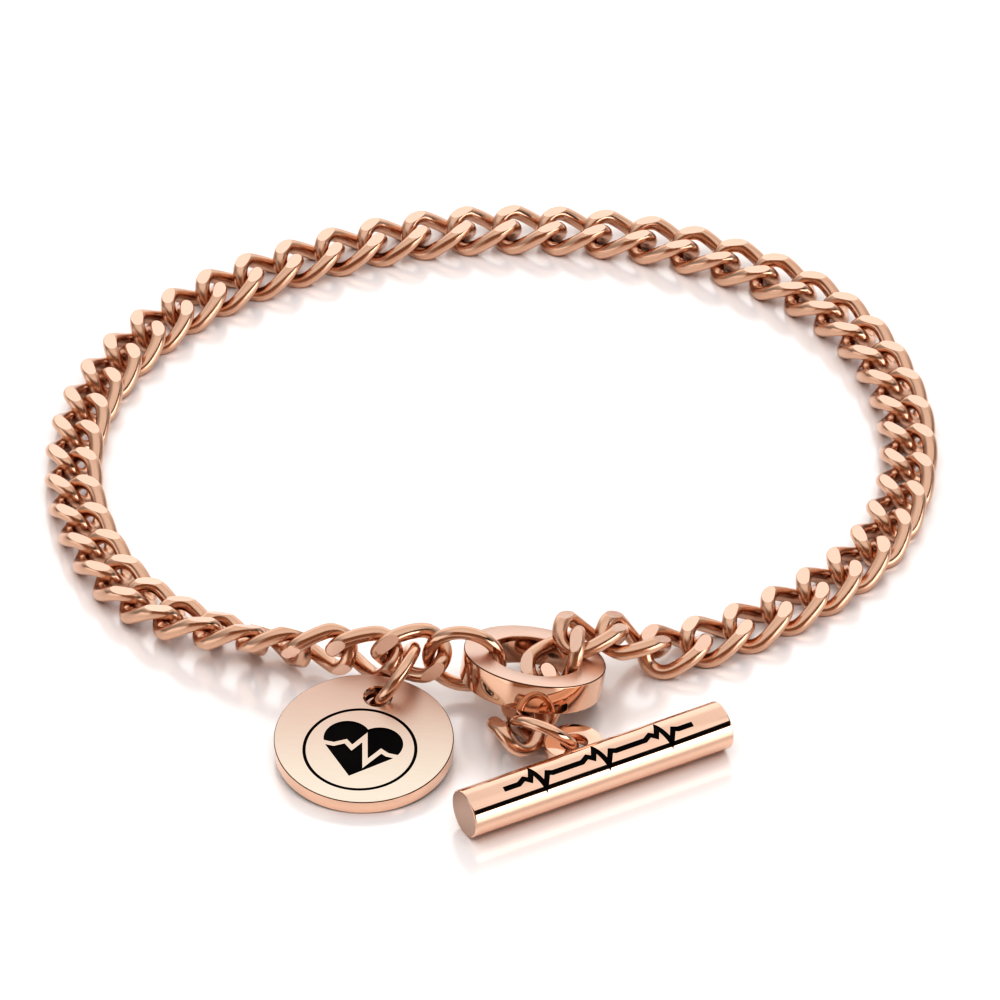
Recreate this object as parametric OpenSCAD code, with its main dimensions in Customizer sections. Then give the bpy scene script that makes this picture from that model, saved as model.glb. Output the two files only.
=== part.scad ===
// Medical alert bracelet: a twisted curb chain, closed by a toggle ring and bar, with a round engraved tag.
// It lies fastened on a flat surface as an oval loop. Millimetres, +Z up, Z = 0 at the surface,
// the origin under the middle of the whole bracelet, +Y away from the clasp.

/* [Chain] */
// Distance from one hook point of the chain to the next
link_pitch = 3.8; // [3.75:0.01:3.85]
// Thickness of a link's wire
link_wire = 1.2; // [1:0.05:1.2]
// Width of a link over its wire
link_width = 4.7; // [4.6:0.05:4.8]
// Height of the chain between its ground flats
link_height = 2.4; // [2.2:0.05:2.5]
// Turn of a link's plane from one end to the other, in degrees
link_twist = 108; // [104:1:112]
// Play between two hooked links on a straight run
link_play = 0.18; // [0.16:0.01:0.22]

/* [Toggle ring] */
// Outer diameter of the toggle ring
eye_d = 11.1; // [10.9:0.05:11.2]
// Diameter of the toggle ring's hole
eye_hole_d = 7.1; // [7.05:0.05:7.3]
// Height of the toggle ring's wall
eye_h = 2.35; // [2.2:0.05:2.4]
// Chamfer along the toggle ring's edges
eye_chamfer = 0.12; // [0.05:0.01:0.25]

/* [Toggle bar] */
// Length of the toggle bar
bar_len = 22.6; // [20:0.2:26]
// Diameter of the toggle bar
bar_d = 3.8; // [3.6:0.05:3.9]
// Chamfer round the toggle bar's flat ends
bar_chamfer = 0.15; // [0.05:0.01:0.4]
// Outer diameter of the lug soldered to the bar
lug_d = 4.5; // [4.3:0.05:4.6]
// Diameter of the lug's hole
lug_hole_d = 2.1; // [1.9:0.05:2.2]
// Thickness of the lug
lug_t = 1; // [0.8:0.05:1]
// Distance from the bar's axis to the middle of the lug's hole
lug_offset = 3.1; // [3.05:0.05:3.3]

/* [Medical tag] */
// Diameter of the tag
tag_d = 13.8; // [13:0.1:14.2]
// Thickness of the tag
tag_t = 1.2; // [1:0.05:1.2]
// Diameter of the tag's hole
tag_hole_d = 2.1; // [2:0.05:2.2]
// Metal left between the tag's hole and its rim
tag_hole_rim = 1.25; // [1.1:0.05:1.3]
// Chamfer along the tag's edges
tag_chamfer = 0.1; // [0.05:0.01:0.25]

/* [Jump rings] */
// Outer diameter of the jump ring between chain and toggle ring
clasp_jump_d = 6.6; // [6.55:0.05:6.8]
// Wire of the jump ring between chain and toggle ring
clasp_jump_wire = 1.05; // [0.8:0.05:1.05]
// Outer diameter of the jump ring on the toggle bar's lug
bar_jump_d = 5.8; // [5.75:0.05:6]
// Wire of the jump ring on the toggle bar's lug
bar_jump_wire = 0.9; // [0.8:0.05:0.95]
// Outer diameter of the tag's jump ring
tag_jump_d = 6.5; // [6.45:0.05:6.7]
// Wire of the tag's jump ring
tag_jump_wire = 1; // [0.8:0.05:1.05]

/* [Engraving] */
// Depth of the engraved design
engrave_depth = 0.1; // [0.05:0.01:0.2]
// Width of the fine border line on the tag
border_line = 0.24; // [0.15:0.01:0.35]
// Diameter of the round border on the tag
border_d = 8.8; // [7.6:0.1:8.9]
// Width of the heart on the tag
heart_w = 6.2; // [4:0.1:6.4]
// Width of the strokes of the heartbeat line
beat_line = 0.42; // [0.3:0.02:0.6]
// Height of the heartbeat line on the toggle bar
beat_h = 2; // [1.2:0.1:2.2]
// Length of the heartbeat line on the toggle bar
beat_len = 16.5; // [10:0.5:18]

/* [Hidden] */

// The chain's gently curved run, clockwise round the loop: x, y, z and the roll in degrees.
chain_route = [
    [-15.15, -19.8, 2.45, 58],
    [-18.7, -18.2, 2.1, 35],
    [-22.2, -16.55, 1.85, 20],
    [-25.6, -14.3, 1.55, 9],
    [-28.6, -11, 1.26, 0],
    [-31.2, -6, 1.2, 0],
    [-33.2, 1.2, 1.2, 0],
    [-33.5, 8.6, 1.2, 0],
    [-32, 16.1, 1.2, 0],
    [-28.6, 22.9, 1.2, 0],
    [-23.6, 28.7, 1.2, 0],
    [-17.2, 33.1, 1.2, 0],
    [-10.1, 36.4, 1.2, 0],
    [-2.6, 38.2, 1.2, 0],
    [4.5, 38.3, 1.2, 0],
    [12, 37.2, 1.2, 0],
    [18.9, 34.2, 1.2, 0],
    [25, 30, 1.2, 0],
    [29.5, 24.2, 1.2, 0],
    [32.3, 17.2, 1.2, 0],
    [33.4, 9.9, 1.2, 0],
    [32.8, 2.3, 1.2, 0],
    [30.1, -5.3, 1.2, 0],
    [25.3, -11.2, 1.2, 0],
    [19.2, -16, 1.2, 0],
    [15.8, -17.7, 1.25, -2],
    [12.45, -19.35, 1.6, -17],
];

// The links at the clasp lie each on its own: x, y and z of the middle, heading, dip and roll in degrees.
first_links = [
    [-6.25, -22.6, 4.2, 176, 2, 106],
    [-9.85, -21.7, 3.45, 156, 9, 87],
    [-13.4, -20.4, 2.9, 163, 10, 68],
];
last_links = [
    [10.85, -19.3, 2.9, 190, -26, 11],
    [7.5, -20.45, 4.25, 202, -18, 11],
    [5, -22.85, 3.8, 224, 30, 2],
    [3.25, -25.55, 1.95, 252, 17, 17],
    [1.95, -28.95, 1.85, 256, -13, 5],
];

// Shift that brings the middle of the whole outline to the origin.
to_middle = [0.1, 0.3, 0];

// Where the other pieces lie: middle, then the compass headings and leans in degrees.
eye_at = [3.3, -23.25, 4.4];
eye_heading = 57;
eye_lean = 16;
bar_at = [7.75, -34.1];
bar_heading = 29;
tag_hole_at = [-8.8, -25.85, 1.39];
tag_turn = -13;
clasp_jump_at = [-2.15, -23.05, 3.95];
clasp_jump_heading = -7;
clasp_jump_lean = 6;
bar_jump_at = [4, -30.75, 2.5];
bar_jump_heading = -29;
bar_jump_lean = 34;
tag_jump_at = [-7.6, -23.85, 2.85];
tag_jump_heading = 73;
tag_jump_lean = 32;
// The tag hangs by its hole, and leans so far that its lower rim touches the surface.
tag_reach = tag_d / 2 - tag_hole_rim - tag_hole_d / 2;
tag_lean = asin(tag_hole_at.z / (tag_d / 2 + tag_reach * cos(tag_turn)));
// The engraving's turn on the tag, its distance from the tag's middle, and its turn round the bar.
art_turn = -3;
art_shift = 1.25;
beat_turn = 23;

route_steps = 24;
link_rings = 16;
link_sides = 6;
facet_swell = 1.05;

rose_gold = [0.86, 0.62, 0.52];
bright_rose_gold = [0.93, 0.7, 0.6];

function unit(v) = v / norm(v);
function place(row) = [row.x, row.y, row.z];
function square_to(b, u) = unit(b - (b * u) * u);

// A point on the smooth curve through rows i and i + 1.
function curve_point(rows, i, t) =
    let (
        a = rows[max(i - 1, 0)],
        b = rows[i],
        c = rows[i + 1],
        d = rows[min(i + 2, len(rows) - 1)]
    )
    (2 * b + (c - a) * t + (2 * a - 5 * b + 4 * c - d) * t * t + (3 * b - a - 3 * c + d) * t * t * t) / 2;

// The run is divided into equal steps as near as can be to the pitch.
run_curve = [
    for (i = [0:len(chain_route) - 2], j = [0:route_steps - 1]) curve_point(chain_route, i, j / route_steps),
    chain_route[len(chain_route) - 1]
];
run_at = [
    for (i = 0, s = 0; i < len(run_curve); i = i + 1,
        s = s + (i < len(run_curve) ? norm(place(run_curve[i]) - place(run_curve[i - 1])) : 0)) s
];
run_len = run_at[len(run_at) - 1];
run_links = round(run_len / link_pitch);
run_tables = [for (k = [0:3]) [for (i = [0:len(run_curve) - 1]) [run_at[i], run_curve[i][k]]]];
function run_row(n) = [for (k = [0:3]) lookup(n * run_len / run_links, run_tables[k])];

// A link's place: its middle, the direction of its length and the direction square to its ground flats.
function upright(way, roll) =
    let (up = square_to([0, 0, 1], way))
    up * cos(roll) + cross(way, up) * sin(roll);
function own_place(row) =
    let (way = [cos(row[4]) * cos(row[3]), cos(row[4]) * sin(row[3]), -sin(row[4])])
    [place(row), way, upright(way, row[5])];
function run_place(n) =
    let (
        p = place(run_row(n)),
        q = place(run_row(n + 1)),
        way = unit(q - p)
    )
    [(p + q) / 2, way, upright(way, run_row(n + 0.5)[3])];
link_places = [
    for (row = first_links) own_place(row),
    for (n = [0:run_links - 1]) run_place(n),
    for (row = last_links) own_place(row)
];

// Half the length and half the width of a link's centre line, and the half length of its straight sides.
link_reach = (link_pitch + link_wire + link_play) / 2;
link_half_width = (link_width - link_wire) / 2;
link_straight = link_reach - link_half_width;

// The centre line of a link, x along the chain, at the angle a round its oval.
function link_turn(x) = -link_twist / 2 * x / link_reach;
function link_line(a) =
    let (
        x = link_half_width * cos(a) + (cos(a) > 0 ? 1 : -1) * link_straight,
        y = link_half_width * sin(a)
    )
    [x, y * cos(link_turn(x)), y * sin(link_turn(x))];

// One ring of points round the wire, cut off level at the ground flats.
function link_ring(a) =
    let (
        p = link_line(a),
        way = unit(link_line(a + 1) - link_line(a - 1)),
        up = square_to([0, -sin(link_turn(p.x)), cos(link_turn(p.x))], way),
        side = cross(way, up),
        r = link_wire / 2 * facet_swell
    )
    [
        for (k = [0:link_sides - 1])
            let (q = p + r * (cos(k * 360 / link_sides) * up + sin(k * 360 / link_sides) * side))
            [q.x, q.y, max(-link_height / 2, min(link_height / 2, q.z))]
    ];

link_points = [for (i = [0:link_rings - 1]) each link_ring((i + 0.5) * 360 / link_rings)];
link_faces = [
    for (i = [0:link_rings - 1], k = [0:link_sides - 1])
        let (
            j = (i + 1) % link_rings,
            m = (k + 1) % link_sides
        )
        each [
            [i * link_sides + k, j * link_sides + k, j * link_sides + m],
            [i * link_sides + k, j * link_sides + m, i * link_sides + m]
        ]
];

// One link in its place.
module link(at) {
    x = at[1];
    z = at[2];
    y = cross(z, x);
    polyhedron(points = [for (v = link_points) at[0] + v.x * x + v.y * y + v.z * z], faces = link_faces);
}

module curb_chain() {
    color(rose_gold)
    translate(to_middle)
    for (at = link_places) link(at);
}

// A round plate or bar with a chamfer along both edges, standing on Z = 0.
module chamfered_round(d, h, chamfer) {
    rotate_extrude($fn = 96)
    polygon([
        [0, 0],
        [d / 2 - chamfer, 0],
        [d / 2, chamfer],
        [d / 2, h - chamfer],
        [d / 2 - chamfer, h],
        [0, h]
    ]);
}

// A hole through a plate of height h, opened by a chamfer at both faces.
module chamfered_hole(d, h, chamfer) {
    rotate_extrude($fn = 96)
    polygon([
        [0, -1],
        [d / 2 + chamfer + 1, -1],
        [d / 2, chamfer],
        [d / 2, h - chamfer],
        [d / 2 + chamfer + 1, h + 1],
        [0, h + 1]
    ]);
}

// Leans what it holds by the angle lean toward the compass heading.
module leaned(lean, heading) {
    rotate([0, 0, heading])
    rotate([0, lean, 0])
    rotate([0, 0, -heading])
    children();
}

module toggle_ring() {
    color(bright_rose_gold)
    translate(to_middle)
    translate(eye_at)
    leaned(eye_lean, eye_heading)
    translate([0, 0, -eye_h])
    difference() {
        chamfered_round(eye_d, eye_h, eye_chamfer);
        chamfered_hole(eye_hole_d, eye_h, eye_chamfer);
    }
}

// A jump ring about the middle at, its plane along the heading and leaned over from upright.
module jump_ring(d, wire, at, heading, lean) {
    translate(at)
    rotate([90 + lean, 0, heading])
    rotate_extrude($fn = 96)
    translate([(d - wire) / 2, 0])
    circle(d = wire, $fn = 48);
}

module clasp_jump_ring() {
    color(bright_rose_gold)
    translate(to_middle)
    jump_ring(clasp_jump_d, clasp_jump_wire, clasp_jump_at, clasp_jump_heading, clasp_jump_lean);
}

module bar_jump_ring() {
    color(bright_rose_gold)
    translate(to_middle)
    jump_ring(bar_jump_d, bar_jump_wire, bar_jump_at, bar_jump_heading, bar_jump_lean);
}

module tag_jump_ring() {
    color(bright_rose_gold)
    translate(to_middle)
    jump_ring(tag_jump_d, tag_jump_wire, tag_jump_at, tag_jump_heading, tag_jump_lean);
}

// A line of round-ended strokes through the points.
module stroke(points, line) {
    for (i = [0:len(points) - 2]) {
        p = points[i];
        q = points[i + 1];
        translate((p + q) / 2)
        rotate(atan2(q.y - p.y, q.x - p.x))
        square([norm(q - p), line], center = true);
    }
    for (p = points) {
        translate(p)
        circle(d = line, $fn = 32);
    }
}

// One heartbeat, w wide and h high over its stroke, about the origin.
module heartbeat(w, h, line) {
    rise = (h - line) / 2;
    stroke([
        [-w / 2, 0],
        [-w * 0.26, 0],
        [-w * 0.16, rise * 0.4],
        [-w * 0.08, 0],
        [0, rise],
        [w * 0.1, -rise],
        [w * 0.2, rise * 0.2],
        [w * 0.27, 0],
        [w / 2, 0]
    ], line);
}

// A plain heart of width w: a square on its corner and a disc on each of its upper sides.
module heart(w) {
    side = w / (1 + sqrt(0.5));
    rotate(45) {
        translate([-side / 2, -side / 2])
        square(side);
        translate([0, side / 2])
        circle(d = side, $fn = 64);
        translate([side / 2, 0])
        circle(d = side, $fn = 64);
    }
}

// The tag's design: a heart crossed by a heartbeat line left standing, in a fine round border.
module tag_art() {
    difference() {
        circle(d = border_d, $fn = 96);
        circle(d = border_d - 2 * border_line, $fn = 96);
    }
    difference() {
        translate([0, -heart_w * 0.06])
        heart(heart_w);
        heartbeat(heart_w * 1.3, heart_w * 0.5, beat_line);
    }
}

module medical_tag() {
    color(bright_rose_gold)
    translate(to_middle)
    translate(tag_hole_at)
    rotate([tag_lean, 0, 0])
    rotate([0, 0, tag_turn])
    translate([0, -tag_reach, 0])
    difference() {
        chamfered_round(tag_d, tag_t, tag_chamfer);
        translate([0, tag_reach, 0])
        chamfered_hole(tag_hole_d, tag_t, tag_chamfer);
        translate([0, -art_shift, tag_t - engrave_depth])
        rotate(art_turn)
        linear_extrude(height = 1)
        tag_art();
    }
}

// The bar's design: a run of three heartbeats.
module bar_art() {
    for (i = [-1:1]) {
        translate([i * beat_len / 3, 0])
        heartbeat(beat_len / 3, beat_h, beat_line);
    }
}

module toggle_bar() {
    color(bright_rose_gold)
    translate(to_middle)
    translate([bar_at.x, bar_at.y, bar_d / 2])
    rotate([0, 0, bar_heading])
    difference() {
        union() {
            translate([-bar_len / 2, 0, 0])
            rotate([0, 90, 0])
            chamfered_round(bar_d, bar_len, bar_chamfer);
            translate([0, lug_offset, -lug_t / 2])
            cylinder(d = lug_d, h = lug_t, $fn = 96);
        }
        translate([0, lug_offset, -lug_t])
        cylinder(d = lug_hole_d, h = 2 * lug_t, $fn = 96);
        intersection() {
            rotate([beat_turn, 0, 0])
            linear_extrude(height = bar_d)
            bar_art();
            rotate([0, 90, 0])
            difference() {
                cylinder(d = 2 * bar_d, h = bar_len, center = true, $fn = 96);
                cylinder(d = bar_d - 2 * engrave_depth, h = 2 * bar_len, center = true, $fn = 96);
            }
        }
    }
}

curb_chain();
toggle_ring();
toggle_bar();
medical_tag();
clasp_jump_ring();
bar_jump_ring();
tag_jump_ring();
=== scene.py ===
"""Medical alert bracelet: a curb chain in rose gold plate with its toggle clasp and its engraved tag."""
import math

import bmesh
import bpy
import numpy as np
from mathutils import Matrix, Vector


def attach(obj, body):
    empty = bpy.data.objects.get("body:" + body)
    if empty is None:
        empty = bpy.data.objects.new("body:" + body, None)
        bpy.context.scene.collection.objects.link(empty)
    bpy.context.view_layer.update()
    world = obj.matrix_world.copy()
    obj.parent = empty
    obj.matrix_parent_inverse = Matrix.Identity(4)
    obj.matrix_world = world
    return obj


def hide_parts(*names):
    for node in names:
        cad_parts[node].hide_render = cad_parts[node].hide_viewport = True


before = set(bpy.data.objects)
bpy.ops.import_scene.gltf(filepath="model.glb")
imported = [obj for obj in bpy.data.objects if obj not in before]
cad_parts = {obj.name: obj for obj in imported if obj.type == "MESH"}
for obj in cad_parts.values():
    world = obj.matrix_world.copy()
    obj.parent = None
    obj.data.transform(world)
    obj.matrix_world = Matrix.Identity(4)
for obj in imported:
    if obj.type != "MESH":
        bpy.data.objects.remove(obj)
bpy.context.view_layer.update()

bl_info = {
    "name": "Medical alert bracelet",
    "version": (1, 0, 0),
    "blender": (4, 5, 0),
    "location": "View3D > Sidebar > Bracelet",
    "description": "Dresses a curb chain bracelet with a toggle clasp and an engraved tag",
    "category": "Add Mesh",
}

MM = 0.001
FULL_TURN = math.tau
# Corners closer than these are one corner, in metres.
MERGE, CAD_MERGE = 1e-8, 1e-7
# A face whose normal points up by more than the first is level, and by more than the second a rounded edge.
LEVEL, UPPER_EDGE = 0.95, 0.3
# Places in a piece's list of materials, after the one that most of it has.
# The second of them holds a painted dark reflection line along rounded upper edges.
FLATS, PAINTED_DARK_LINE = 1, 2
SATIN_LINES = {"Length": 900, "Fineness": 9000}
# The whole bracelet's shift to the origin, and where its single pieces lie, in millimetres and degrees.
TO_MIDDLE = (0.1, 0.3, 0)
JUMP_RINGS = {
    "clasp_jump_ring": {"d": 6.6, "wire": 1.05, "at": (-2.15, -23.05, 3.95), "heading": -7, "lean": 6},
    "bar_jump_ring": {"d": 5.8, "wire": 0.9, "at": (4, -30.75, 2.5), "heading": -29, "lean": 34},
    "tag_jump_ring": {"d": 6.5, "wire": 1.0, "at": (-7.6, -23.85, 2.85), "heading": 73, "lean": 32},
}


def length(name, description, mm):
    """A length property whose default is given in millimetres."""
    return bpy.props.FloatProperty(
        name=name, description=description, default=mm * MM, unit="LENGTH", precision=5
    )


def angle(name, description, degrees):
    """An angle property whose default is given in degrees."""
    return bpy.props.FloatProperty(
        name=name, description=description, default=math.radians(degrees), subtype="ANGLE"
    )


def place(name, description, mm):
    """A point whose default is given in millimetres before the shift to the origin."""
    shifted = [(a + b) * MM for a, b in zip(mm, TO_MIDDLE)]
    return bpy.props.FloatVectorProperty(
        name=name, description=description, default=shifted, subtype="TRANSLATION", precision=5
    )


def colour(name, description, value):
    """A linear colour property."""
    return bpy.props.FloatVectorProperty(
        name=name, description=description, default=value, subtype="COLOR", size=3, min=0, max=1
    )


def number(name, description, value):
    """A plain number property."""
    return bpy.props.FloatProperty(name=name, description=description, default=value)


def count(name, description, value):
    """A whole number property."""
    return bpy.props.IntProperty(name=name, description=description, default=value, min=3)


class LinkSizes(bpy.types.PropertyGroup):
    """Sizes of one curb link."""

    pitch: length("Pitch", "Distance from one hook point of the chain to the next", 3.8)
    play: length("Play", "Play between two hooked links", 0.18)
    wire: length("Wire", "Thickness of a link's wire", 1.2)
    width: length("Width", "Width of a link over its wire", 4.7)
    height: length("Height", "Height between the ground flats", 2.4)
    rim: length("Rim", "Rounding round the ground flats", 0.05)
    twist: angle("Twist", "Turn of the link's plane from end to end", 108)
    stations: count("Stations", "Sections round the oval", 60)
    sides: count("Sides", "Sides of the round wire", 18)


class ToggleRingSizes(bpy.types.PropertyGroup):
    """Sizes and place of the toggle ring."""

    outer: length("Outer diameter", "Outer diameter of the ring", 11.1)
    hole: length("Hole", "Diameter of the hole", 7.1)
    height: length("Height", "Height of the wall", 2.35)
    edge: length("Edge", "Rounding along the edges", 0.12)
    at: place("Place", "Middle of the top face", (3.3, -23.25, 4.4))
    heading: angle("Heading", "Compass direction that it leans to", 57)
    lean: angle("Lean", "Lean from level", 16)


class ToggleBarSizes(bpy.types.PropertyGroup):
    """Sizes and place of the toggle bar and its lug."""

    length: length("Length", "Length of the bar", 22.6)
    thickness: length("Thickness", "Diameter of the bar", 3.8)
    edge: length("Edge", "Rounding at the flat ends", 0.15)
    lug: length("Lug", "Outer diameter of the lug", 4.5)
    lug_hole: length("Lug hole", "Diameter of the lug's hole", 2.1)
    lug_thickness: length("Lug thickness", "Thickness of the lug", 1)
    lug_offset: length("Lug offset", "Distance of the lug's hole from the bar's axis", 3.1)
    at: place("Place", "Middle of the bar", (7.75, -34.1, 1.9))
    heading: angle("Heading", "Compass direction of the bar", 29)


class TagSizes(bpy.types.PropertyGroup):
    """Sizes and place of the medical tag."""

    outer: length("Diameter", "Diameter of the tag", 13.8)
    thickness: length("Thickness", "Thickness of the tag", 1.2)
    hole: length("Hole", "Diameter of the hole", 2.1)
    rim: length("Rim", "Metal between the hole and the rim", 1.25)
    edge: length("Edge", "Rounding along the edges", 0.1)
    hole_at: place("Place of the hole", "Middle of the hole at the lower face", (-8.8, -25.85, 1.39))
    turn: angle("Turn", "Turn of the hole about the tag's middle", -13)


class EngravingSizes(bpy.types.PropertyGroup):
    """Sizes of the engraved heart and heartbeat lines."""

    depth: length("Depth", "Depth of the engraving", 0.1)
    border: length("Border", "Diameter of the round border", 8.8)
    border_line: length("Border line", "Width of the border line", 0.24)
    heart: length("Heart", "Width of the heart", 6.2)
    stroke: length("Stroke", "Width of the heartbeat line", 0.42)
    beat_height: length("Beat height", "Height of the heartbeat line on the bar", 2)
    beat_length: length("Beat length", "Length of the heartbeat line on the bar", 16.5)
    beat_turn: angle("Beat turn", "Turn of the heartbeat line round the bar", 23)
    art_turn: angle("Design turn", "Turn of the design on the tag", -3)
    art_shift: length("Design shift", "Distance of the design from the tag's middle", 1.25)


class FinishColours(bpy.types.PropertyGroup):
    """Colours of the plate, the enamel and the surface below."""

    gold: colour("Rose gold", "Colour of the polished bar and the tag's wall", (0.9, 0.62, 0.48))
    wire: colour("Drawn wire", "Colour of the wire and the toggle ring's wall", (0.77, 0.5, 0.365))
    # Also darkened as painted shade on the bar's ends.
    satin: colour("Satin rose gold", "Colour of the links' ground flats", (0.9, 0.63, 0.5))
    blush: colour("Blush", "Colour of the toggle ring's and the tag's satin faces", (0.8, 0.58, 0.48))
    # Painted sheen: a pale reflection painted into the front of the tag's satin face.
    painted_sheen_colour: colour("Pale sheen", "Colour that the tag's satin face fades to in front", (0.97, 0.86, 0.73))
    # Painted dark reflection line along the rounded upper edges.
    edge: colour("Edge line", "Colour along the rounded upper edges", (0.12, 0.06, 0.035))
    enamel: colour("Enamel", "Colour in the engraving", (0.003, 0.002, 0.002))
    floor: colour("Floor", "Colour of the surface below", (0.86, 0.86, 0.87))


class StageSizes(bpy.types.PropertyGroup):
    """Sizes of the camera's place and the studio."""

    target: place("Target", "Point that the camera looks at", (0.6, -0.7, 2.5))
    elevation: angle("Elevation", "Height of the camera over the horizon", 36.88)
    distance: length("Distance", "Distance of the camera", 684)
    lens: number("Lens", "Focal length in millimetres", 310.4)
    floor_drop: length("Floor drop", "Distance of the floor under the bracelet", 0.02)
    floor_size: length("Floor size", "Width of the floor", 6000)
    sky: number("Sky", "Strength of the light from all round", 1.7)
    box_at: bpy.props.FloatVectorProperty(
        name="Box place",
        description="Place of the soft box",
        default=(-0.1, -0.2, 0.8),
        subtype="TRANSLATION",
    )
    box_width: length("Box width", "Width of the soft box", 1000)
    box_depth: length("Box depth", "Depth of the soft box", 900)
    box_power: number("Box power", "Power of the soft box in watts", 3.3)


class BraceletSettings(bpy.types.PropertyGroup):
    """All the sizes and colours of the bracelet."""

    link: bpy.props.PointerProperty(type=LinkSizes)
    toggle_ring: bpy.props.PointerProperty(type=ToggleRingSizes)
    toggle_bar: bpy.props.PointerProperty(type=ToggleBarSizes)
    tag: bpy.props.PointerProperty(type=TagSizes)
    engraving: bpy.props.PointerProperty(type=EngravingSizes)
    colours: bpy.props.PointerProperty(type=FinishColours)
    stage: bpy.props.PointerProperty(type=StageSizes)


def turned(radians, axis):
    """A rotation about one axis."""
    return Matrix.Rotation(radians, 4, axis)


def leaned(lean, heading):
    """A lean toward a compass heading."""
    return turned(heading, "Z") @ turned(lean, "Y") @ turned(-heading, "Z")


# Shader node groups


def new_group(name, inputs, outputs):
    """A shader node group with its sockets and the two nodes that hold them."""
    group = bpy.data.node_groups.new(name, "ShaderNodeTree")
    for socket, kind, value in inputs:
        made = group.interface.new_socket(name=socket, in_out="INPUT", socket_type=kind)
        if value is not None:
            made.default_value = value
    for socket, kind in outputs:
        group.interface.new_socket(name=socket, in_out="OUTPUT", socket_type=kind)
    return group, group.nodes.new("NodeGroupInput"), group.nodes.new("NodeGroupOutput")


def ramp(tree, stops):
    """A colour ramp through stops of position and colour, or of position and grey value."""
    node = tree.nodes.new("ShaderNodeValToRGB")
    elements = node.color_ramp.elements
    while len(elements) < len(stops):
        elements.new(0.5)
    for element, (position, value) in zip(elements, stops):
        element.position = position
        element.color = (*value, 1) if isinstance(value, tuple) else (value, value, value, 1)
    return node


def noise(tree, scale, detail, rough=0.5):
    """A noise texture with its numbers set."""
    node = tree.nodes.new("ShaderNodeTexNoise")
    node.inputs["Scale"].default_value = scale
    node.inputs["Detail"].default_value = detail
    node.inputs["Roughness"].default_value = rough
    return node


def handling_group():
    """Soft uneven patches that handling leaves on polished plate: a mask and a roughness value."""
    group, entry, result = new_group(
        "handling_marks",
        [
            ("Vector", "NodeSocketVector", None),
            ("Low", "NodeSocketFloat", 0.1),
            ("High", "NodeSocketFloat", 0.2),
        ],
        [("Mask", "NodeSocketFloat"), ("Roughness", "NodeSocketFloat")],
    )
    links = group.links
    patches = noise(group, scale=260, detail=3)
    specks = noise(group, scale=2600, detail=2)
    links.new(entry.outputs["Vector"], patches.inputs["Vector"])
    links.new(entry.outputs["Vector"], specks.inputs["Vector"])
    soft = ramp(group, [(0.35, 0), (0.7, 1)])
    fine = ramp(group, [(0.35, 0), (0.75, 1)])
    links.new(patches.outputs["Fac"], soft.inputs["Fac"])
    links.new(specks.outputs["Fac"], fine.inputs["Fac"])
    both = group.nodes.new("ShaderNodeMath")
    both.operation = "MULTIPLY_ADD"
    specks_share = 0.12
    both.inputs[1].default_value = specks_share
    links.new(fine.outputs["Color"], both.inputs[0])
    links.new(soft.outputs["Color"], both.inputs[2])
    spread = group.nodes.new("ShaderNodeMapRange")
    links.new(both.outputs[0], spread.inputs["Value"])
    links.new(entry.outputs["Low"], spread.inputs["To Min"])
    links.new(entry.outputs["High"], spread.inputs["To Max"])
    links.new(both.outputs[0], result.inputs["Mask"])
    links.new(spread.outputs["Result"], result.inputs["Roughness"])
    return group


def grain_group():
    """Fine lines left by grinding or brushing, stretched along X: a mask."""
    group, entry, result = new_group(
        "grinding_lines",
        [
            ("Vector", "NodeSocketVector", None),
            ("Length", "NodeSocketFloat", 300),
            ("Fineness", "NodeSocketFloat", 9000),
        ],
        [("Mask", "NodeSocketFloat")],
    )
    links = group.links
    sizes = group.nodes.new("ShaderNodeCombineXYZ")
    links.new(entry.outputs["Length"], sizes.inputs["X"])
    links.new(entry.outputs["Fineness"], sizes.inputs["Y"])
    links.new(entry.outputs["Length"], sizes.inputs["Z"])
    scaled = group.nodes.new("ShaderNodeVectorMath")
    scaled.operation = "MULTIPLY"
    links.new(entry.outputs["Vector"], scaled.inputs[0])
    links.new(sizes.outputs["Vector"], scaled.inputs[1])
    lines = noise(group, scale=1, detail=4, rough=0.65)
    links.new(scaled.outputs["Vector"], lines.inputs["Vector"])
    links.new(lines.outputs["Fac"], result.inputs["Mask"])
    return group


def new_material(name):
    """A material with its Principled shader, ready for its links."""
    material = bpy.data.materials.new(name)
    material.use_nodes = True
    tree = material.node_tree
    return material, tree, tree.nodes["Principled BSDF"]


def shared(name, make):
    """A node group that is made once and then reused."""
    return bpy.data.node_groups.get(name) or make()


def placed_group(tree, group, values):
    """The group as a node in a material, with its own values."""
    node = tree.nodes.new("ShaderNodeGroup")
    node.node_tree = group
    for socket, value in values.items():
        node.inputs[socket].default_value = value
    return node


def tinted(tree, mask, low, high):
    """A colour that runs from low to high with a mask."""
    mix = tree.nodes.new("ShaderNodeMix")
    mix.data_type = "RGBA"
    mix.inputs["A"].default_value = (*low, 1)
    mix.inputs["B"].default_value = (*high, 1)
    tree.links.new(mask, mix.inputs["Factor"])
    return mix.outputs["Result"]


def blended(tree, low, high, factor, blend="MIX"):
    """One colour laid over another by a factor, or all over it without one."""
    mix = tree.nodes.new("ShaderNodeMix")
    mix.data_type = "RGBA"
    mix.blend_type = blend
    tree.links.new(low, mix.inputs["A"])
    tree.links.new(high, mix.inputs["B"])
    if factor is None:
        mix.inputs["Factor"].default_value = 1
    else:
        tree.links.new(factor, mix.inputs["Factor"])
    return mix.outputs["Result"]


def bumped(tree, height, distance, strength, shader):
    """A bump from a height mask into the shader's normal."""
    bump = tree.nodes.new("ShaderNodeBump")
    bump.inputs["Distance"].default_value = distance
    bump.inputs["Strength"].default_value = strength
    tree.links.new(height, bump.inputs["Height"])
    tree.links.new(bump.outputs["Normal"], shader.inputs["Normal"])


def darker(value, share):
    """A colour times a share."""
    return tuple(c * share for c in value)


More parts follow.
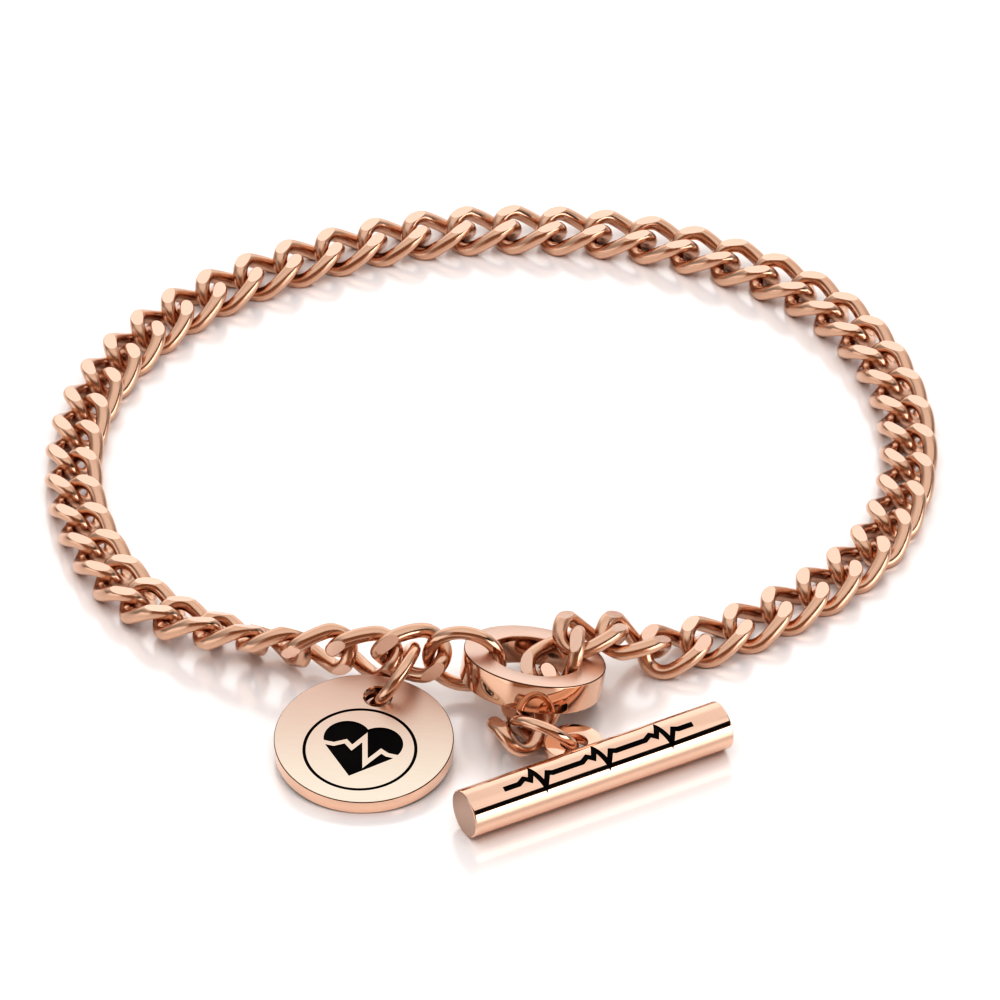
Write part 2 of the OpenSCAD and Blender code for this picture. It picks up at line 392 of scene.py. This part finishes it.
def polished_plate(name, gold, low, high):
    """Rose gold plate, polished to a roughness from low to high, with soft handling marks."""
    if name in bpy.data.materials:
        return bpy.data.materials[name]
    material, tree, shader = new_material(name)
    where = tree.nodes.new("ShaderNodeTexCoord")
    marks = placed_group(tree, shared("handling_marks", handling_group), {"Low": low, "High": high})
    tree.links.new(where.outputs["Object"], marks.inputs["Vector"])
    uneven = tinted(tree, marks.outputs["Mask"], gold, darker(gold, 0.96))
    tree.links.new(uneven, shader.inputs["Base Color"])
    tree.links.new(marks.outputs["Roughness"], shader.inputs["Roughness"])
    shader.inputs["Metallic"].default_value = 1
    bumped(tree, marks.outputs["Mask"], distance=1e-6, strength=0.1, shader=shader)
    return material


def polished_gold(colours):
    """The mirror finish of the bar, its lug and the tag's wall."""
    return polished_plate("polished_rose_gold", colours.gold, low=0.05, high=0.1)


def shaded_edge(colours):
    """A dark reflection line painted along the rounded upper edges."""
    return polished_plate("shaded_edge", colours.edge, low=0.2, high=0.3)


def ground_plate(name, gold, coordinates, lines, low, high, painted_reflection_fade=None):
    """Plate with fine ground or drawn lines along X of the coordinates, its roughness from low to high.

    A painted reflection fade holds two places along Y and a pale second colour, a painted sheen, which runs
    into the first from one to the other.
    """
    if name in bpy.data.materials:
        return bpy.data.materials[name]
    material, tree, shader = new_material(name)
    where = tree.nodes.new("ShaderNodeTexCoord")
    grain = placed_group(tree, shared("grinding_lines", grain_group), lines)
    marks = placed_group(tree, shared("handling_marks", handling_group), {"Low": low, "High": high})
    tree.links.new(where.outputs[coordinates], grain.inputs["Vector"])
    tree.links.new(where.outputs["Object"], marks.inputs["Vector"])
    shade = 0.92
    uneven = tinted(tree, grain.outputs["Mask"], darker(gold, shade), gold)
    # Painted reflection: the pale colour is laid over the plate from one place along Y to the other.
    if painted_reflection_fade:
        start, end, pale = painted_reflection_fade
        parts = tree.nodes.new("ShaderNodeSeparateXYZ")
        tree.links.new(where.outputs["Object"], parts.inputs["Vector"])
        share = tree.nodes.new("ShaderNodeMapRange")
        share.interpolation_type = "SMOOTHSTEP"
        share.inputs["From Min"].default_value = start
        share.inputs["From Max"].default_value = end
        tree.links.new(parts.outputs["Y"], share.inputs["Value"])
        painted_sheen_tone = tinted(tree, grain.outputs["Mask"], darker(pale, shade), pale)
        uneven = blended(tree, painted_sheen_tone, uneven, share.outputs["Result"])
    tree.links.new(uneven, shader.inputs["Base Color"])
    tree.links.new(marks.outputs["Roughness"], shader.inputs["Roughness"])
    shader.inputs["Metallic"].default_value = 1
    bumped(tree, grain.outputs["Mask"], distance=2e-6, strength=0.3, shader=shader)
    return material


def black_enamel(colours):
    """Black enamel in the engraving, slightly uneven."""
    name = "black_enamel"
    if name in bpy.data.materials:
        return bpy.data.materials[name]
    material, tree, shader = new_material(name)
    where = tree.nodes.new("ShaderNodeTexCoord")
    marks = placed_group(tree, shared("handling_marks", handling_group), {"Low": 0.35, "High": 0.55})
    tree.links.new(where.outputs["Object"], marks.inputs["Vector"])
    black = tinted(tree, marks.outputs["Mask"], colours.enamel, tuple(2.5 * c for c in colours.enamel))
    tree.links.new(black, shader.inputs["Base Color"])
    tree.links.new(marks.outputs["Roughness"], shader.inputs["Roughness"])
    shader.inputs["Specular IOR Level"].default_value = 0.05
    bumped(tree, marks.outputs["Mask"], distance=1e-5, strength=0.4, shader=shader)
    return material


def floor_finish(colours):
    """A pale smooth surface with a faint sheen."""
    material, tree, shader = new_material("pale_floor")
    where = tree.nodes.new("ShaderNodeTexCoord")
    cloud = noise(tree, scale=12, detail=2)
    tree.links.new(where.outputs["Object"], cloud.inputs["Vector"])
    pale = tinted(tree, cloud.outputs["Fac"], colours.floor, darker(colours.floor, 0.985))
    tree.links.new(pale, shader.inputs["Base Color"])
    shader.inputs["Roughness"].default_value = 0.2
    shader.inputs["IOR"].default_value = 2.2
    shader.inputs["Specular IOR Level"].default_value = 1
    shader.inputs["Specular Tint"].default_value = (1, 0.88, 0.82, 1)
    return material


# Mesh helpers


def finished(bm, name, materials):
    """Turns the bmesh into a piece at the origin, with outward normals."""
    bmesh.ops.recalc_face_normals(bm, faces=bm.faces)
    mesh = bpy.data.meshes.new(name)
    bm.to_mesh(mesh)
    bm.free()
    for material in materials:
        mesh.materials.append(material)
    piece = bpy.data.objects.new(name, mesh)
    bpy.context.scene.collection.objects.link(piece)
    return piece


def smoothed(piece, sharp_over=35):
    """Smooth shading with creases kept sharp and flat faces kept flat."""
    bm = bmesh.new()
    bm.from_mesh(piece.data)
    for face in bm.faces:
        face.smooth = True
    for edge in bm.edges:
        edge.smooth = len(edge.link_faces) == 2 and edge.calc_face_angle() < math.radians(sharp_over)
    bm.to_mesh(piece.data)
    bm.free()
    weights = piece.modifiers.new("flat_faces", "WEIGHTED_NORMAL")
    weights.keep_sharp = True
    return piece


def settled(piece, node):
    """Lets the piece stand for a CAD node and ride on the one body."""
    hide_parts(node)
    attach(piece, "root")
    return piece


def applied(piece):
    """Applies the piece's modifiers to its mesh."""
    mesh = bpy.data.meshes.new_from_object(piece.evaluated_get(bpy.context.evaluated_depsgraph_get()))
    piece.modifiers.clear()
    old = piece.data
    piece.data = mesh
    bpy.data.meshes.remove(old)
    return piece


def joined_with(piece, other, operation):
    """Adds or cuts with another piece, which is used up."""
    step = piece.modifiers.new(operation.lower(), "BOOLEAN")
    step.operation = operation
    step.solver = "EXACT"
    step.material_mode = "TRANSFER"
    step.object = other
    bpy.context.view_layer.update()
    applied(piece)
    bpy.data.objects.remove(other)
    return piece


def lathed(bm, profile, steps):
    """Spins a closed profile of radius and height about Z."""
    verts = [bm.verts.new((r, 0, z)) for r, z in profile]
    edges = [bm.edges.new((a, b)) for a, b in zip(verts, verts[1:] + verts[:1])]
    bmesh.ops.spin(
        bm,
        geom=verts + edges,
        cent=(0, 0, 0),
        axis=(0, 0, 1),
        angle=FULL_TURN,
        steps=steps,
        use_merge=True,
        use_duplicate=False,
    )
    bmesh.ops.remove_doubles(bm, verts=bm.verts, dist=MERGE)


def rounded_edges(bm, width, segments=4, over=60):
    """Rounds every edge that is sharper than an angle."""
    limit = math.radians(over)
    sharp = [e for e in bm.edges if len(e.link_faces) == 2 and e.calc_face_angle() > limit]
    bmesh.ops.bevel(
        bm,
        geom=sharp,
        offset=width,
        offset_type="OFFSET",
        segments=segments,
        profile=0.5,
        affect="EDGES",
        clamp_overlap=True,
        material=-1,
    )


def washer(outer, hole, height, edge, steps=128):
    """A flat ring standing on Z = 0 with rounded edges."""
    bm = bmesh.new()
    lathed(bm, [(hole / 2, 0), (outer / 2, 0), (outer / 2, height), (hole / 2, height)], steps)
    if edge:
        bmesh.ops.recalc_face_normals(bm, faces=bm.faces)
        rounded_edges(bm, edge)
    return bm


def round_bar(diameter, height, edge, steps=128):
    """A cylinder standing on Z = 0 with rounded edges."""
    bm = bmesh.new()
    bmesh.ops.create_cone(
        bm,
        cap_ends=True,
        segments=steps,
        radius1=diameter / 2,
        radius2=diameter / 2,
        depth=height,
        matrix=Matrix.Translation((0, 0, height / 2)),
    )
    if edge:
        rounded_edges(bm, edge)
    return bm


def faces_get(bm, index, test):
    """Gives a material to each face that passes a test."""
    for face in bm.faces:
        if test(face):
            face.material_index = index


def is_level(face):
    """Whether the face lies level."""
    return abs(face.normal.z) > LEVEL


def is_upper_edge(face):
    """Whether the face is part of a rounded upper edge."""
    return UPPER_EDGE < face.normal.z < LEVEL


def moved(bm, matrix):
    """Moves all of the bmesh."""
    bmesh.ops.transform(bm, matrix=matrix, verts=bm.verts)
    return bm


# The curb chain


def oval_point(size, share):
    """A point on a link's flat oval at a share of its way round."""
    half_width = (size.width - size.wire) / 2
    straight = (size.pitch + size.wire + size.play) / 2 - half_width
    arc, side = math.pi * half_width, 2 * straight
    way = (share % 1) * 2 * (arc + side)
    end = 1
    if way >= arc + side:
        way -= arc + side
        end = -1
    if way < arc:
        turn = way / half_width - math.pi / 2
        return end * (straight + half_width * math.cos(turn)), end * half_width * math.sin(turn)
    return end * (straight - (way - arc)), end * half_width


def link_turn(size, x):
    """Turn of the link's plane at x along it."""
    return -size.twist * x / (size.pitch + size.wire + size.play)


def link_line(size, share):
    """A point on the twisted middle line of the wire."""
    x, y = oval_point(size, share)
    turn = link_turn(size, x)
    return Vector((x, y * math.cos(turn), y * math.sin(turn)))


def link_section(size, share):
    """Where a round section of the wire stands, square to the middle line."""
    near = 0.002
    point = link_line(size, share)
    way = (link_line(size, share + near) - link_line(size, share - near)).normalized()
    turn = link_turn(size, point.x)
    up = Vector((0, -math.sin(turn), math.cos(turn)))
    up = (up - up.project(way)).normalized()
    return Matrix.Translation(point) @ Matrix((up, way.cross(up), way)).transposed().to_4x4()


def is_rim(edge):
    """Whether the edge runs round a ground flat."""
    return sum(face.material_index == FLATS for face in edge.link_faces) == 1


def ground_flats(bm, size):
    """Grinds the link level at its top and bottom, with rounded rims round the cut faces."""
    for side in (1, -1):
        cut = bmesh.ops.bisect_plane(
            bm,
            geom=bm.verts[:] + bm.edges[:] + bm.faces[:],
            dist=MERGE,
            plane_co=(0, 0, side * size.height / 2),
            plane_no=(0, 0, side),
            clear_outer=True,
        )
        rim = [e for e in cut["geom_cut"] if isinstance(e, bmesh.types.BMEdge)]
        for face in bmesh.ops.holes_fill(bm, edges=rim, sides=0)["faces"]:
            face.material_index = FLATS
    rims = [e for e in bm.edges if is_rim(e)]
    bmesh.ops.bevel(
        bm,
        geom=rims,
        offset=size.rim,
        offset_type="OFFSET",
        segments=2,
        profile=0.5,
        affect="EDGES",
        clamp_overlap=True,
        material=0,
    )
    for face in bm.faces:
        face.smooth = True


def link_mesh(size):
    """One curb link about the origin, its length along X, mapped along its wire and over its flats."""
    bm = bmesh.new()
    layer = bm.loops.layers.uv.new("lines")
    loops = []
    count_at = {}
    for station in range(size.stations):
        section = bmesh.ops.create_circle(
            bm,
            segments=size.sides,
            radius=size.wire / 2,
            matrix=link_section(size, station / size.stations),
        )
        count_at.update({vert: (station, side) for side, vert in enumerate(section["verts"])})
        loops.append(list({edge for vert in section["verts"] for edge in vert.link_edges}))
    for here, there in zip(loops, loops[1:] + loops[:1]):
        bmesh.ops.bridge_loops(bm, edges=here + there)
    bmesh.ops.recalc_face_normals(bm, faces=bm.faces)
    side_width = 3 * size.wire / size.sides
    for face in bm.faces:
        lows = [min(count_at[vert][i] for vert in face.verts) for i in (0, 1)]
        for corner in face.loops:
            for i, whole in ((0, size.stations), (1, size.sides)):
                step = count_at[corner.vert][i]
                wraps = lows[i] == 0 and step > 1
                corner[layer].uv[i] = (step - whole if wraps else step) * side_width
    ground_flats(bm, size)
    for face in bm.faces:
        if face.material_index == FLATS:
            for corner in face.loops:
                corner[layer].uv = corner.vert.co.xy
    for edge in bm.edges:
        edge.smooth = not is_rim(edge)
    mesh = bpy.data.meshes.new("link")
    bm.to_mesh(mesh)
    bm.free()
    return mesh


def link_places(node):
    """The middle and the axes of each loose link of the CAD chain, from the spread of its corners."""
    bm = bmesh.new()
    bm.from_mesh(node.data)
    bmesh.ops.remove_doubles(bm, verts=bm.verts, dist=CAD_MERGE)
    seen = set()
    places = []
    for first in bm.verts:
        if first in seen:
            continue
        seen.add(first)
        group = [first]
        for vert in group:
            for edge in vert.link_edges:
                other = edge.other_vert(vert)
                if other not in seen:
                    seen.add(other)
                    group.append(other)
        corners = np.array([vert.co for vert in group])
        middle = corners.mean(axis=0)
        axes = np.linalg.eigh(np.cov((corners - middle).T))[1]
        x, y = Vector(axes[:, 2]), Vector(axes[:, 1])
        turn = Matrix((x, y, x.cross(y))).transposed().to_4x4()
        places.append(Matrix.Translation(middle) @ turn)
    bm.free()
    return places


class BRACELET_OT_chain(bpy.types.Operator):
    """Make the interlocked curb links where the CAD chain has them"""

    bl_idname = "bracelet.chain"
    bl_label = "Curb chain"

    def execute(self, context):
        settings = context.scene.bracelet
        link = link_mesh(settings.link)
        bm = bmesh.new()
        for at in link_places(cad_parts["curb_chain"]):
            before = len(bm.verts)
            bm.from_mesh(link)
            bm.verts.ensure_lookup_table()
            bmesh.ops.transform(bm, matrix=at, verts=bm.verts[before:])
        bpy.data.meshes.remove(link)
        drawn = {"Length": 250, "Fineness": 7000}
        ground = {"Length": 500, "Fineness": 14000}
        wire = ground_plate("drawn_wire", settings.colours.wire, "UV", drawn, low=0.18, high=0.26)
        flats = ground_plate("ground_flats", settings.colours.satin, "UV", ground, low=0.18, high=0.26)
        piece = finished(bm, "curb_links", [wire, flats])
        settled(piece, "curb_chain")
        return {"FINISHED"}


# The clasp


class BRACELET_OT_toggle_ring(bpy.types.Operator):
    """Make the thick-walled toggle ring with satin faces and a polished wall"""

    bl_idname = "bracelet.toggle_ring"
    bl_label = "Toggle ring"

    def execute(self, context):
        settings = context.scene.bracelet
        size = settings.toggle_ring
        bm = washer(size.outer, size.hole, size.height, size.edge, steps=160)
        faces_get(bm, FLATS, is_level)
        middle = (size.outer + size.hole) / 4
        outside = {face for face in bm.faces if face.calc_center_median().xy.length > middle}
        # The outer rounded upper edge gets the painted dark reflection line.
        faces_get(bm, PAINTED_DARK_LINE, lambda face: is_upper_edge(face) and face in outside)
        lower = Matrix.Translation((0, 0, -size.height))
        moved(bm, Matrix.Translation(size.at) @ leaned(size.lean, size.heading) @ lower)
        wall = polished_plate("polished_wall", settings.colours.wire, low=0.05, high=0.1)
        satin = ground_plate(
            "satin_ring", settings.colours.blush, "Object", SATIN_LINES, low=0.3, high=0.38
        )
        line = shaded_edge(settings.colours)
        piece = smoothed(finished(bm, "toggle_ring_polished", [wall, satin, line]), 50)
        settled(piece, "toggle_ring")
        return {"FINISHED"}


class BRACELET_OT_jump_rings(bpy.types.Operator):
    """Make the three round jump rings"""

    bl_idname = "bracelet.jump_rings"
    bl_label = "Jump rings"

    def execute(self, context):
        settings = context.scene.bracelet
        finish = polished_plate("polished_wire", settings.colours.wire, low=0.12, high=0.18)
        for node, ring in JUMP_RINGS.items():
            bm = bmesh.new()
            out = Matrix.Translation(((ring["d"] - ring["wire"]) / 2 * MM, 0, 0))
            section = bmesh.ops.create_circle(
                bm,
                segments=28,
                radius=ring["wire"] / 2 * MM,
                matrix=out @ turned(math.pi / 2, "X"),
            )
            bmesh.ops.spin(
                bm,
                geom=section["verts"] + bm.edges[:],
                cent=(0, 0, 0),
                axis=(0, 0, 1),
                angle=FULL_TURN,
                steps=112,
                use_merge=True,
                use_duplicate=False,
            )
            bmesh.ops.remove_doubles(bm, verts=bm.verts, dist=MERGE)
            at = Vector([(a + b) * MM for a, b in zip(ring["at"], TO_MIDDLE)])
            upright = turned(math.radians(90 + ring["lean"]), "X")
            stand = turned(math.radians(ring["heading"]), "Z") @ upright
            moved(bm, Matrix.Translation(at) @ stand)
            piece = smoothed(finished(bm, node + "_polished", [finish]))
            settled(piece, node)
        return {"FINISHED"}


# The engraving


def heartbeat(width, height, line, at=0):
    """The corners of one heartbeat about x = at."""
    rise = (height - line) / 2
    shape = [(-0.5, 0), (-0.26, 0), (-0.16, 0.4), (-0.08, 0), (0, 1)]
    shape += [(0.1, -1), (0.2, 0.2), (0.27, 0), (0.5, 0)]
    return [(at + x * width, y * rise) for x, y in shape]


def stroke(name, points, line, low, high, material):
    """A solid stroke along the points, from a low to a high level."""
    bm = bmesh.new()
    verts = [bm.verts.new((x, y, low)) for x, y in points]
    edges = [bm.edges.new(pair) for pair in zip(verts, verts[1:])]
    walls = bmesh.ops.extrude_edge_only(bm, edges=edges)["geom"]
    upper = [v for v in walls if isinstance(v, bmesh.types.BMVert)]
    bmesh.ops.translate(bm, vec=(0, 0, high - low), verts=upper)
    piece = finished(bm, name, [material])
    thick = piece.modifiers.new("stroke", "SOLIDIFY")
    thick.thickness = line
    thick.offset = 0
    thick.use_even_offset = True
    thick.thickness_clamp = 0
    return applied(piece)


def heart(name, width, low, high, material):
    """A solid heart: a square on its corner with a half round on each of its upper sides."""
    side = width / (1 + math.sqrt(0.5))
    steps = 28
    turn = Matrix.Rotation(math.pi / 4, 4, "Z")
    corners = [Vector((-side / 2, -side / 2, 0)), Vector((side / 2, -side / 2, 0))]
    for middle, start in (((side / 2, 0, 0), -90), ((0, side / 2, 0), 0)):
        for i in range(1, steps + 1):
            a = math.radians(start + 180 * i / steps)
            corners.append(Vector(middle) + side / 2 * Vector((math.cos(a), math.sin(a), 0)))
    # The last step of the second half round runs straight into the square's side.
    corners.pop()
    bm = bmesh.new()
    face = bm.faces.new([bm.verts.new(turn @ c + Vector((0, 0, low))) for c in corners])
    lifted = bmesh.ops.extrude_face_region(bm, geom=[face])["geom"]
    upper = [v for v in lifted if isinstance(v, bmesh.types.BMVert)]
    bmesh.ops.translate(bm, vec=(0, 0, high - low), verts=upper)
    return finished(bm, name, [material])


class BRACELET_OT_toggle_bar(bpy.types.Operator):
    """Make the toggle bar with its lug and the engraved heartbeat line"""

    bl_idname = "bracelet.toggle_bar"
    bl_label = "Toggle bar"

    def execute(self, context):
        settings = context.scene.bracelet
        size, art = settings.toggle_bar, settings.engraving
        gold, enamel = polished_gold(settings.colours), black_enamel(settings.colours)
        # Painted shade: the bar's ends take the satin colour darkened, standing in for the darker
        # reflections there.
        painted_shade_end_colour = darker(settings.colours.satin, 0.6)
        satin = ground_plate("satin_bar_end", painted_shade_end_colour, "Object", SATIN_LINES, low=0.25, high=0.35)
        along = turned(math.pi / 2, "Y")
        bm = round_bar(size.thickness, size.length, size.edge)
        faces_get(bm, FLATS, is_level)
        moved(bm, Matrix.Translation((-size.length / 2, 0, 0)) @ along)
        piece = finished(bm, "toggle_bar_engraved", [gold, satin])

        lug = washer(size.lug, size.lug_hole, size.lug_thickness, size.edge / 2, steps=96)
        moved(lug, Matrix.Translation((0, size.lug_offset, -size.lug_thickness / 2)))
        joined_with(piece, finished(lug, "lug", [gold]), "UNION")

        one = art.beat_length / 3
        points = heartbeat(one, art.beat_height, art.stroke, -one)
        points += heartbeat(one, art.beat_height, art.stroke)[1:]
        points += heartbeat(one, art.beat_height, art.stroke, one)[1:]
        cutter = stroke("beat", points, art.stroke, 0, size.thickness, enamel)
        cutter.data.transform(turned(art.beat_turn, "X"))
        core = round_bar(size.thickness - 2 * art.depth, size.length, 0)
        moved(core, Matrix.Translation((-size.length / 2, 0, 0)) @ along)
        joined_with(cutter, finished(core, "core", [enamel]), "DIFFERENCE")
        joined_with(piece, cutter, "DIFFERENCE")

        piece.data.transform(Matrix.Translation(size.at) @ turned(size.heading, "Z"))
        settled(smoothed(piece), "toggle_bar")
        return {"FINISHED"}


class BRACELET_OT_tag(bpy.types.Operator):
    """Make the round medical tag with its hole and the engraved heart"""

    bl_idname = "bracelet.tag"
    bl_label = "Medical tag"

    def execute(self, context):
        settings = context.scene.bracelet
        size, art = settings.tag, settings.engraving
        gold, enamel = polished_gold(settings.colours), black_enamel(settings.colours)
        lines = {"Length": 500, "Fineness": 7000}
        # Painted sheen: the tag's satin face fades to a pale painted reflection towards the front.
        middle = size.hole_at.y - size.outer / 3
        painted_reflection_fade = (middle - size.outer / 2, middle + size.outer / 2, settings.colours.painted_sheen_colour)
        satin = ground_plate(
            "satin_tag", settings.colours.blush, "Object", lines, low=0.34, high=0.38, painted_reflection_fade=painted_reflection_fade
        )
        bm = round_bar(size.outer, size.thickness, size.edge, steps=192)
        faces_get(bm, FLATS, is_level)
        # The rounded upper edge gets the painted dark reflection line.
        faces_get(bm, PAINTED_DARK_LINE, is_upper_edge)
        piece = finished(bm, "medical_tag_engraved", [gold, satin, shaded_edge(settings.colours)])

        radius, edge, clear = size.hole / 2, size.edge, MM
        reach = size.outer / 2 - size.rim - radius
        flare = radius + edge + clear
        hole = bmesh.new()
        profile = [(0, -clear), (flare, -clear), (radius, edge), (radius, size.thickness - edge)]
        profile += [(flare, size.thickness + clear), (0, size.thickness + clear)]
        lathed(hole, profile, 96)
        moved(hole, Matrix.Translation((0, reach, 0)))
        joined_with(piece, finished(hole, "hole", [gold]), "DIFFERENCE")

        low, high = size.thickness - art.depth, size.thickness + clear
        design = heart("heart", art.heart, low, high, enamel)
        to_centre = -0.06 * art.heart
        design.data.transform(Matrix.Translation((0, to_centre, 0)))
        line = stroke(
            "beat",
            heartbeat(art.heart * 1.3, art.heart * 0.5, art.stroke),
            art.stroke,
            low - clear,
            high + clear,
            enamel,
        )
        joined_with(design, line, "DIFFERENCE")
        border = washer(art.border, art.border - 2 * art.border_line, high - low, 0, steps=160)
        moved(border, Matrix.Translation((0, 0, low)))
        for cutter in (design, finished(border, "border", [enamel])):
            shift = Matrix.Translation((0, -art.art_shift, 0))
            cutter.data.transform(shift @ turned(art.art_turn, "Z"))
            joined_with(piece, cutter, "DIFFERENCE")

        lean = math.asin(size.hole_at.z / (size.outer / 2 + reach * math.cos(size.turn)))
        hung = Matrix.Translation(size.hole_at) @ turned(lean, "X") @ turned(size.turn, "Z")
        piece.data.transform(hung @ Matrix.Translation((0, -reach, 0)))
        settled(smoothed(piece), "medical_tag")
        return {"FINISHED"}


# The stage


# How bright the studio is at each height of a direction, from the horizon at 0 to straight up at 1.
# The brown zone in front shades the wires softly. The black strip at the right draws the bar's dark line.
DUSK, BROWN = (0.17, 0.1, 0.065), (0.11, 0.06, 0.035)
FRONT_LIGHT = [(0, DUSK), (0.25, DUSK), (0.5, BROWN), (0.66, BROWN), (0.76, 0.46), (1, 0.46)]
RIGHT_LIGHT = [(0, 1.1), (0.3, 1.3), (0.33, 0.005), (0.6, 0.005), (0.63, 0.5), (1, 0.46)]
LEFT_LIGHT = [(0, 0.6), (0.15, 0.6), (0.3, 0.2), (0.6, 0.25), (0.75, 0.46), (1, 0.46)]
BACK_LIGHT = [(0, 0.12), (0.06, 0.4), (0.12, 0.56), (0.4, 0.55), (0.6, 0.54), (0.75, 0.43), (1, 0.42)]
# How much of a side's light counts at each distance to that side, and what is left of the back's.
WING_SHARE = [(0.5, 0), (0.65, 1)]
BACK_SHARE = [(0.55, 1), (0.9, 0.3)]
# The front turns into the back between these two depths of a direction.
TURN_TO_BACK = (-0.1, 0.1)


def studio_light(world, strength):
    """A white studio with a brown front, a bright box low at the right, a soft left and a pale back."""
    world.use_nodes = True
    tree = world.node_tree
    links = tree.links
    where = tree.nodes.new("ShaderNodeTexCoord")
    parts = tree.nodes.new("ShaderNodeSeparateXYZ")
    links.new(where.outputs["Generated"], parts.inputs["Vector"])
    sides = [ramp(tree, stops) for stops in (FRONT_LIGHT, RIGHT_LIGHT, LEFT_LIGHT, BACK_LIGHT)]
    front, right, left, back = sides
    for side in sides:
        links.new(parts.outputs["Z"], side.inputs["Fac"])
    depth = tree.nodes.new("ShaderNodeMapRange")
    depth.inputs["From Min"].default_value = TURN_TO_BACK[0]
    depth.inputs["From Max"].default_value = TURN_TO_BACK[1]
    links.new(parts.outputs["Y"], depth.inputs["Value"])
    fore, rear = front.outputs["Color"], back.outputs["Color"]
    for side, sign in ((right, 1), (left, -1)):
        across = tree.nodes.new("ShaderNodeMath")
        across.operation = "MULTIPLY"
        across.inputs[1].default_value = sign
        links.new(parts.outputs["X"], across.inputs[0])
        wing, rest = ramp(tree, WING_SHARE), ramp(tree, BACK_SHARE)
        for mask in (wing, rest):
            links.new(across.outputs[0], mask.inputs["Fac"])
        fore = blended(tree, fore, side.outputs["Color"], wing.outputs["Color"])
        rear = blended(tree, rear, rest.outputs["Color"], None, "MULTIPLY")
    whole = blended(tree, fore, rear, depth.outputs["Result"])
    links.new(whole, tree.nodes["Background"].inputs["Color"])
    tree.nodes["Background"].inputs["Strength"].default_value = strength


def soft_box(name, at, target, width, height, power):
    """A rectangular studio light turned to its target."""
    light = bpy.data.lights.new(name, "AREA")
    light.shape = "RECTANGLE"
    light.size = width
    light.size_y = height
    light.energy = power
    lamp = bpy.data.objects.new(name, light)
    lamp.location = at
    lamp.rotation_mode = "QUATERNION"
    lamp.rotation_quaternion = (Vector(target) - Vector(at)).to_track_quat("-Z", "Y")
    bpy.context.scene.collection.objects.link(lamp)
    return lamp


class BRACELET_OT_stage(bpy.types.Operator):
    """Make the pale floor, the soft studio light and the camera"""

    bl_idname = "bracelet.stage"
    bl_label = "Stage"

    def execute(self, context):
        settings = context.scene.bracelet
        size = settings.stage
        bm = bmesh.new()
        bmesh.ops.create_grid(bm, x_segments=1, y_segments=1, size=size.floor_size / 2)
        moved(bm, Matrix.Translation((0, 0, -size.floor_drop)))
        floor = finished(bm, "pale_floor", [floor_finish(settings.colours)])

        scene = context.scene
        scene.world = scene.world or bpy.data.worlds.new("studio")
        studio_light(scene.world, size.sky)
        box = soft_box("top_box", size.box_at, (0, 0, 0), size.box_width, size.box_depth, size.box_power)
        box.visible_glossy = False

        lens = bpy.data.cameras.new("camera")
        lens.lens = size.lens
        lens.sensor_width = 36
        lens.clip_start = 0.01
        lens.clip_end = 20
        camera = bpy.data.objects.new("camera", lens)
        back = Vector((0, -math.cos(size.elevation), math.sin(size.elevation)))
        camera.location = Vector(size.target) + size.distance * back
        camera.rotation_euler = (math.pi / 2 - size.elevation, 0, 0)
        scene.collection.objects.link(camera)
        scene.camera = camera
        scene.view_settings.view_transform = "Standard"
        scene.view_settings.look = "High Contrast"
        return {"FINISHED"}


OPERATORS = (
    BRACELET_OT_chain,
    BRACELET_OT_toggle_ring,
    BRACELET_OT_jump_rings,
    BRACELET_OT_toggle_bar,
    BRACELET_OT_tag,
    BRACELET_OT_stage,
)


class BRACELET_PT_panel(bpy.types.Panel):
    """Lists the bracelet's pieces"""

    bl_idname = "BRACELET_PT_panel"
    bl_label = "Bracelet"
    bl_space_type = "VIEW_3D"
    bl_region_type = "UI"
    bl_category = "Bracelet"

    def draw(self, context):
        for operator in OPERATORS:
            self.layout.operator(operator.bl_idname)
        for name in ("link", "toggle_ring", "toggle_bar", "tag", "engraving", "colours", "stage"):
            group = getattr(context.scene.bracelet, name)
            box = self.layout.box()
            box.label(text=name.replace("_", " "))
            for key in group.__annotations__:
                box.prop(group, key)


CLASSES = (
    LinkSizes,
    ToggleRingSizes,
    ToggleBarSizes,
    TagSizes,
    EngravingSizes,
    FinishColours,
    StageSizes,
    BraceletSettings,
    *OPERATORS,
    BRACELET_PT_panel,
)


def register():
    for made in CLASSES:
        bpy.utils.register_class(made)
    bpy.types.Scene.bracelet = bpy.props.PointerProperty(type=BraceletSettings)


def unregister():
    del bpy.types.Scene.bracelet
    for made in reversed(CLASSES):
        bpy.utils.unregister_class(made)


def main():
    """Makes every piece in order."""
    register()
    for operator in OPERATORS:
        group, name = operator.bl_idname.split(".")
        getattr(getattr(bpy.ops, group), name)()


if __name__ == "__main__":
    main()
